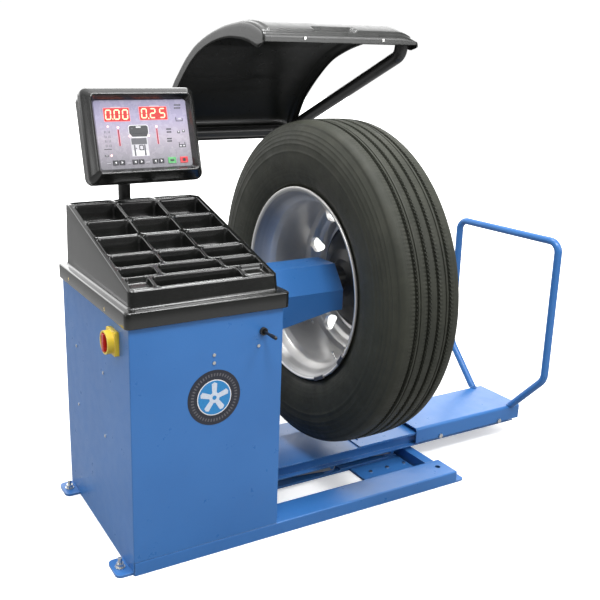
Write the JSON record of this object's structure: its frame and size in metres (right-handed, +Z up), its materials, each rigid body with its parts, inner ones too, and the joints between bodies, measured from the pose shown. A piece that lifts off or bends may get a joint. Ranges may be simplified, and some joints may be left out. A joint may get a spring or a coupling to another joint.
{
  "type": "wheel balancer machine",
  "caption": "Floor-standing truck wheel balancer with cabinet, weight tray, display on a post, clamped wheel, swing-over wheel guard and wheel lift with trolley.",
  "frame": {"origin": "on the floor directly below the spindle axis, on the underside of the lift base plate", "axes": "+X along the spindle away from the cabinet, +Y to the rear (the operator stands at -Y), +Z up"},
  "size_m": [1.636, 1.3239, 1.442],
  "materials": {
    "blue_paint": "gloss powder coat",
    "black_paint": "satin",
    "grey_paint": "satin",
    "zinc_steel": "bright zinc",
    "steel": "ground",
    "alloy": "satin machined",
    "brass": "satin",
    "tyre_rubber": "matt rubber",
    "belt_rubber": "matt",
    "nylon": "matt",
    "black_abs": "textured, semi-gloss",
    "panel_film": "satin film",
    "yellow_plastic": "semi-gloss",
    "red_plastic": "semi-gloss",
    "badge_print": "printed film",
    "black_plastic": "matt",
    "board_green": "matt",
    "key_green": "satin",
    "key_red": "satin",
    "key_grey": "satin"
  },
  "bodies": {
    "root": {"base_frame": "blue_paint", "cross_plate": "blue_paint", "floor_bolts": "zinc_steel", "cabinet_shell": "blue_paint", "rear_panel": "blue_paint", "cover_screws": "zinc_steel", "weight_tray": "black_abs", "tray_screws": "brass", "badge": "badge_print", "switch_plate": "yellow_plastic", "lift_valve": "black_plastic", "spindle_housing": "blue_paint", "drive_frame": "grey_paint", "bearing_tube": "grey_paint", "bearings": "steel", "sensors": "black_plastic", "motor": "grey_paint", "drive_belt": "belt_rubber", "power_board": "board_green", "display_post": "black_paint", "hood_brackets": "black_paint", "lift_base": "blue_paint"},
    "spindle": {"spindle_shaft": "steel", "spindle_pulley": "black_paint", "encoder_disc": "steel", "wheel_flange": "black_paint", "truck_cone": "black_paint", "pressure_plate": "steel", "quick_nut": "black_paint", "rim": "alloy", "tyre": "tyre_rubber", "valve_stem": "zinc_steel", "wheel_weights": "zinc_steel"},
    "motor_rotor": {"motor_pulley": "black_paint"},
    "switch": {"switch_knob": "red_plastic"},
    "lever": {"lift_lever": "black_paint"},
    "display": {"display_housing": "black_abs", "display_back": "black_abs", "display_panel": "panel_film"},
    "guard": {"hood_shell": "black_abs", "hood_frame": "black_paint", "hood_screws": "zinc_steel"},
    "arms_left": {"lift_arms_left": "grey_paint"},
    "arms_right": {"lift_arms_right": "grey_paint"},
    "rail": {"lift_rail": "blue_paint"},
    "trolley": {"trolley": "blue_paint", "trolley_handle": "blue_paint", "roller_axles": "zinc_steel"},
    "roller_pair_left": {"rollers_left": "nylon"},
    "roller_pair_right": {"rollers_right": "nylon"},
    "barrel": {"cylinder_barrel": "alloy"},
    "rod": {"cylinder_rod": "zinc_steel"},
    "key_arrow_1": {"key_arrow_1": "key_grey"},
    "key_arrow_2": {"key_arrow_2": "key_grey"},
    "key_arrow_3": {"key_arrow_3": "key_grey"},
    "key_arrow_4": {"key_arrow_4": "key_grey"},
    "key_arrow_5": {"key_arrow_5": "key_grey"},
    "key_arrow_6": {"key_arrow_6": "key_grey"},
    "key_start": {"key_start": "key_green"},
    "key_stop": {"key_stop": "key_red"}
  },
  "joints": [
    {"name": "spindle_spin", "type": "hinge", "parent": "root", "child": "spindle", "pos_m": [0, 0, 0.661], "axis": [1, 0, 0], "continuous": true},
    {"name": "motor_spin", "type": "hinge", "parent": "root", "child": "motor_rotor", "pos_m": [-0.465, 0, 0.38], "axis": [1, 0, 0], "continuous": true},
    {"name": "main_switch", "type": "hinge", "parent": "root", "child": "switch", "pos_m": [-0.733, -0.18, 0.632], "axis": [-1, 0, 0], "range_deg": [0, 90]},
    {"name": "lift_lever_tilt", "type": "hinge", "parent": "root", "child": "lever", "pos_m": [-0.343, -0.283, 0.634], "axis": [1, 0, 0], "range_deg": [-12, 12]},
    {"name": "display_swivel", "type": "hinge", "parent": "root", "child": "display", "pos_m": [-0.505, 0.31, 1.11], "axis": [0, 0, 1], "range_deg": [-30, 30]},
    {"name": "guard_hinge", "type": "hinge", "parent": "root", "child": "guard", "pos_m": [0, 0.345, 0.2], "axis": [1, 0, 0], "range_deg": [0, 35]},
    {"name": "lift_raise", "type": "hinge", "parent": "root", "child": "arms_left", "pos_m": [0.06, 0, 0.035], "axis": [0, 1, 0], "range_deg": [0, 7]},
    {"name": "rail_level", "type": "hinge", "parent": "arms_left", "child": "rail", "pos_m": [-0.25877, 0, 0.063], "axis": [0, 1, 0], "range_deg": [-7, 0]},
    {"name": "arms_right_swing", "type": "hinge", "parent": "root", "child": "arms_right", "pos_m": [0.31, 0, 0.035], "axis": [0, 1, 0], "range_deg": [0, 7]},
    {"name": "cylinder_tilt", "type": "hinge", "parent": "root", "child": "barrel", "pos_m": [-0.24, 0, 0.026], "axis": [0, -1, 0], "range_deg": [0, 3.86]},
    {"name": "rod_stroke", "type": "slide", "parent": "barrel", "child": "rod", "axis": [0.9972, 0, 0.0753], "range_m": [0, 0.00632]},
    {"name": "trolley_slide", "type": "slide", "parent": "rail", "child": "trolley", "axis": [-1, 0, 0], "range_m": [0, 0.5]},
    {"name": "roller_spin_left", "type": "hinge", "parent": "trolley", "child": "roller_pair_left", "pos_m": [0.493, 0, 0.07], "axis": [0, -1, 0], "range_deg": [0, 2215]},
    {"name": "roller_spin_right", "type": "hinge", "parent": "trolley", "child": "roller_pair_right", "pos_m": [0.771, 0, 0.07], "axis": [0, -1, 0], "range_deg": [0, 2215]},
    {"name": "key_arrow_1_press", "type": "slide", "parent": "display", "child": "key_arrow_1", "axis": [0, 0.9563, -0.2924], "range_m": [0, 0.001], "stiffness_N_per_m": 300},
    {"name": "key_arrow_2_press", "type": "slide", "parent": "display", "child": "key_arrow_2", "axis": [0, 0.9563, -0.2924], "range_m": [0, 0.001], "stiffness_N_per_m": 300},
    {"name": "key_arrow_3_press", "type": "slide", "parent": "display", "child": "key_arrow_3", "axis": [0, 0.9563, -0.2924], "range_m": [0, 0.001], "stiffness_N_per_m": 300},
    {"name": "key_arrow_4_press", "type": "slide", "parent": "display", "child": "key_arrow_4", "axis": [0, 0.9563, -0.2924], "range_m": [0, 0.001], "stiffness_N_per_m": 300},
    {"name": "key_arrow_5_press", "type": "slide", "parent": "display", "child": "key_arrow_5", "axis": [0, 0.9563, -0.2924], "range_m": [0, 0.001], "stiffness_N_per_m": 300},
    {"name": "key_arrow_6_press", "type": "slide", "parent": "display", "child": "key_arrow_6", "axis": [0, 0.9563, -0.2924], "range_m": [0, 0.001], "stiffness_N_per_m": 300},
    {"name": "key_start_press", "type": "slide", "parent": "display", "child": "key_start", "axis": [0, 0.9563, -0.2924], "range_m": [0, 0.001], "stiffness_N_per_m": 300},
    {"name": "key_stop_press", "type": "slide", "parent": "display", "child": "key_stop", "axis": [0, 0.9563, -0.2924], "range_m": [0, 0.001], "stiffness_N_per_m": 300}
  ],
  "couplings": [
    {"joint": "motor_spin", "follows": "spindle_spin", "ratio": 2.6667},
    {"joint": "rail_level", "follows": "lift_raise", "ratio": -1},
    {"joint": "arms_right_swing", "follows": "lift_raise", "ratio": 1},
    {"joint": "cylinder_tilt", "follows": "lift_raise", "ratio": 0.54477},
    {"joint": "rod_stroke", "follows": "lift_raise", "m_per_rad": 0.050907},
    {"joint": "roller_spin_left", "follows": "trolley_slide", "rad_per_m": 77.22},
    {"joint": "roller_spin_right", "follows": "trolley_slide", "rad_per_m": 77.22}
  ]
}
